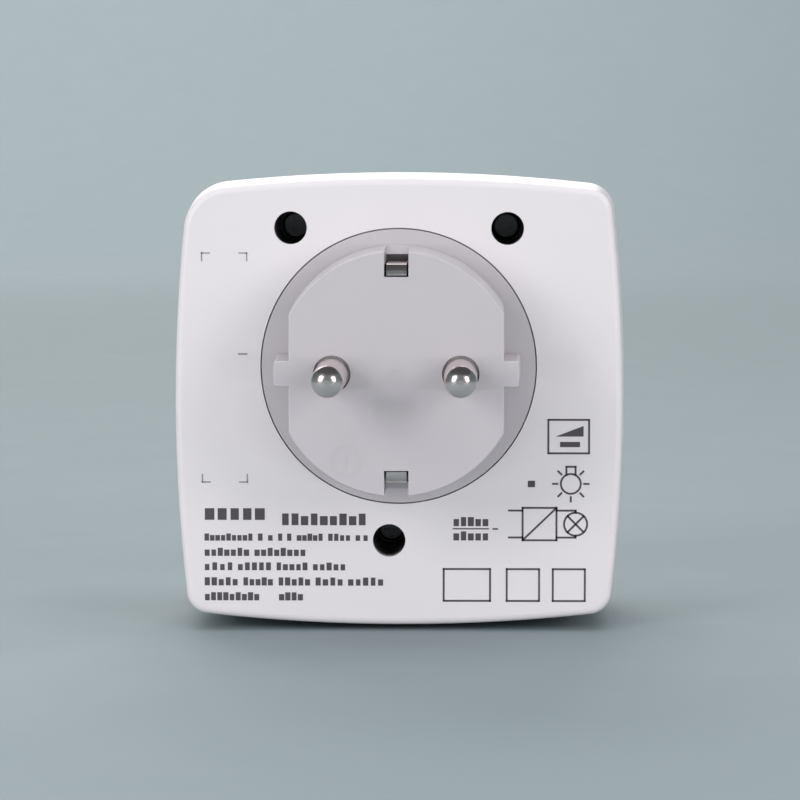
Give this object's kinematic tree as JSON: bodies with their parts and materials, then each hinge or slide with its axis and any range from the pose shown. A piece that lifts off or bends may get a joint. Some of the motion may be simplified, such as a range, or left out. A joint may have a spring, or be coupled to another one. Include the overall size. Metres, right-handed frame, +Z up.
{
  "type": "plug in dimmer",
  "caption": "Square wall adapter with crowned sides: an earthed round-pin plug on its back, a shuttered earthed socket in its front, a small button, and dimmer electronics inside.",
  "frame": {"origin": "centre of the plug face, midway between the two pins", "axes": "+Y along the plug pins, into the wall socket; +Z up; +X to the right of someone facing the front socket"},
  "size_m": [0.07, 0.0774, 0.07],
  "materials": {
    "shell_plastic": "fine eroded white moulding",
    "cup_plastic": "smooth white moulding",
    "plug_plastic": "light grey moulding with a soft sheen",
    "button_plastic": "smooth white moulding",
    "chassis_plastic": "black moulding",
    "shutter_plastic": "slippery off-white moulding",
    "clear_plastic": "clear light guide",
    "nickel": "polished nickel plate",
    "spring_bronze": "bare bronze strip",
    "tinned_brass": "tinned brass",
    "zinc_steel": "zinc plated steel",
    "black_steel": "blackened steel",
    "board_laminate": "green solder resist",
    "chip_resin": "black moulding resin",
    "film_box": "yellow capacitor box",
    "can_sleeve": "black shrink sleeve",
    "fuse_body": "brown fuse body",
    "varistor_resin": "blue dipped resin",
    "ferrite": "dark sintered ferrite",
    "copper_wire": "enamelled copper wire",
    "coil_tape": "yellow coil tape",
    "aluminium_plate": "pressed aluminium",
    "pad_silicone": "soft grey pad",
    "led_resin": "side view lamp"
  },
  "bodies": {
    "housing": {"antenna_wire": "copper_wire", "bulk_capacitor": "can_sleeve", "bus_line": "tinned_brass", "bus_neutral": "tinned_brass", "case_screws": "black_steel", "chassis": "chassis_plastic", "choke_core": "ferrite", "choke_winding": "copper_wire", "control_board": "board_laminate", "control_chips": "chip_resin", "dimmer_transistors": "chip_resin", "earth_link": "tinned_brass", "earth_rivets": "tinned_brass", "front_shell": "shell_plastic", "fuse": "fuse_body", "header_body": "chassis_plastic", "header_pins": "tinned_brass", "heat_spreader": "aluminium_plate", "light_guide": "clear_plastic", "pin_carrier": "plug_plastic", "pin_line": "nickel", "pin_neutral": "nickel", "plug_earth_strap": "nickel", "plug_insert": "plug_plastic", "power_board": "board_laminate", "power_chips": "chip_resin", "radio_module": "board_laminate", "radio_shield": "zinc_steel", "rear_shell": "shell_plastic", "shutter_cover": "shutter_plastic", "shutter_spring": "spring_bronze", "socket_contact_load": "spring_bronze", "socket_contact_neutral": "spring_bronze", "socket_earth_bracket": "nickel", "socket_insert": "cup_plastic", "status_led": "led_resin", "tact_switch": "chassis_plastic", "thermal_pad": "pad_silicone", "transformer_coil": "coil_tape", "transformer_core": "ferrite", "varistor": "varistor_resin", "x_capacitor": "film_box"},
    "button": {"button_cap": "button_plastic"},
    "plunger": {"tact_plunger": "chassis_plastic"},
    "shutter": {"shutter": "shutter_plastic"}
  },
  "joints": [
    {"name": "button_press", "type": "slide", "parent": "housing", "child": "button", "axis": [0, 1, 0], "range_m": [0, 0.0005], "stiffness_N_per_m": 1200, "springref_m": -0.0005},
    {"name": "plunger_press", "type": "slide", "parent": "housing", "child": "plunger", "axis": [0, 1, 0], "range_m": [0, 0.0005]},
    {"name": "shutter_turn", "type": "hinge", "parent": "housing", "child": "shutter", "pos_m": [0, -0.0375, 0], "axis": [0, 1, 0], "range_deg": [0, 42], "stiffness_Nm_per_rad": 0.002, "springref_deg": -11.46}
  ],
  "couplings": [
    {"joint": "plunger_press", "follows": "button_press", "ratio": 1}
  ]
}
